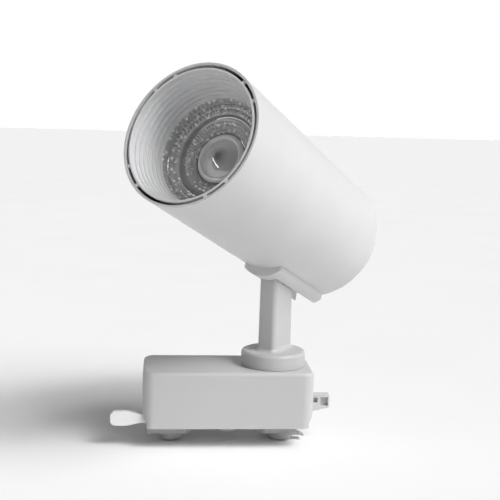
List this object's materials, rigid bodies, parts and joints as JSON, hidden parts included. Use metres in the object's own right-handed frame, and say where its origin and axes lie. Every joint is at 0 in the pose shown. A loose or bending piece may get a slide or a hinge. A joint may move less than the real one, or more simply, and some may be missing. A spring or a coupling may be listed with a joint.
{
  "type": "track spotlight",
  "caption": "Museum track spotlight: a box-shaped track adapter with turning lock and contact heads, a swivelling stem and a tilting tubular lamp with a baffle and a clear lens.",
  "frame": {"origin": "centre of the adapter's rim, the plane that rests on the track's face", "axes": "+Z away from the track, +X along the track, +Y across it"},
  "size_m": [0.122, 0.1299, 0.1652],
  "materials": {
    "white_plastic": "satin white moulded polycarbonate",
    "grey_plastic": "light grey moulded nylon",
    "steel": "zinc-plated steel",
    "circuit_board": "green solder mask",
    "ferrite": "dark ferrite and tape",
    "can_sleeve": "shrink sleeve",
    "chip_plastic": "black epoxy",
    "brass": "bare spring brass",
    "frosted_plastic": "pale frosted plastic",
    "lever_plastic": "satin light grey moulding",
    "black_plastic": "black nylon",
    "painted_casting": "white powder coat on a die casting",
    "cable_sheath": "white PVC sheath",
    "painted_aluminium": "white powder coat on aluminium tube",
    "baffle_plastic": "matt white stepped moulding",
    "clear_lens": "clear moulded acrylic lens",
    "pad_silicone": "grey silicone pad",
    "circuit_board_white": "white solder mask",
    "phosphor": "yellow phosphor silicone",
    "raw_aluminium": "bare extruded aluminium"
  },
  "bodies": {
    "adapter": {"adapter_housing": "white_plastic", "adapter_base": "grey_plastic", "base_screws": "steel", "driver_board": "circuit_board", "board_screws": "steel", "driver_transformer": "ferrite", "driver_capacitors": "can_sleeve", "driver_chips": "chip_plastic", "line_contacts": "brass", "swivel_bush": "black_plastic", "driver_lead": "cable_sheath"},
    "track_lock": {"lock_head": "grey_plastic", "lock_lever": "frosted_plastic", "lock_clip": "steel"},
    "track_contact": {"contact_head": "grey_plastic", "contact_lever": "lever_plastic", "contact_blades": "brass", "contact_clip": "steel"},
    "stem": {"stem": "painted_casting", "swivel_washer": "steel", "swivel_nut": "steel", "stem_lead": "cable_sheath"},
    "lamp": {"lamp_tube": "painted_aluminium", "saddle": "painted_casting", "pivot_pin": "steel", "pivot_washers": "black_plastic", "saddle_screws": "steel", "baffle": "baffle_plastic", "lens": "clear_lens", "lens_holder": "black_plastic", "thermal_pad": "pad_silicone", "led_module": "circuit_board_white", "led_emitter": "phosphor", "led_holder": "white_plastic", "led_screws": "steel", "heat_sink": "raw_aluminium", "rear_cap": "painted_aluminium", "rear_cap_screws": "steel", "head_lead": "cable_sheath"}
  },
  "joints": [
    {"name": "stem_pan", "type": "hinge", "parent": "adapter", "child": "stem", "pos_m": [0.02077, 0, 0.025], "axis": [0, 0, 1], "range_deg": [-160, 160]},
    {"name": "lamp_tilt", "type": "hinge", "parent": "stem", "child": "lamp", "pos_m": [0.02142, 0.00089, 0.06545], "axis": [-0.8053, 0.5929, 0], "range_deg": [-23.4, 66.5]},
    {"name": "lock_turn", "type": "hinge", "parent": "adapter", "child": "track_lock", "pos_m": [-0.0253, 0, 0], "axis": [0, 0, 1], "range_deg": [-90, 0]},
    {"name": "contact_turn", "type": "hinge", "parent": "adapter", "child": "track_contact", "pos_m": [0.025, 0, 0], "axis": [0, 0, 1], "range_deg": [0, 90]}
  ]
}
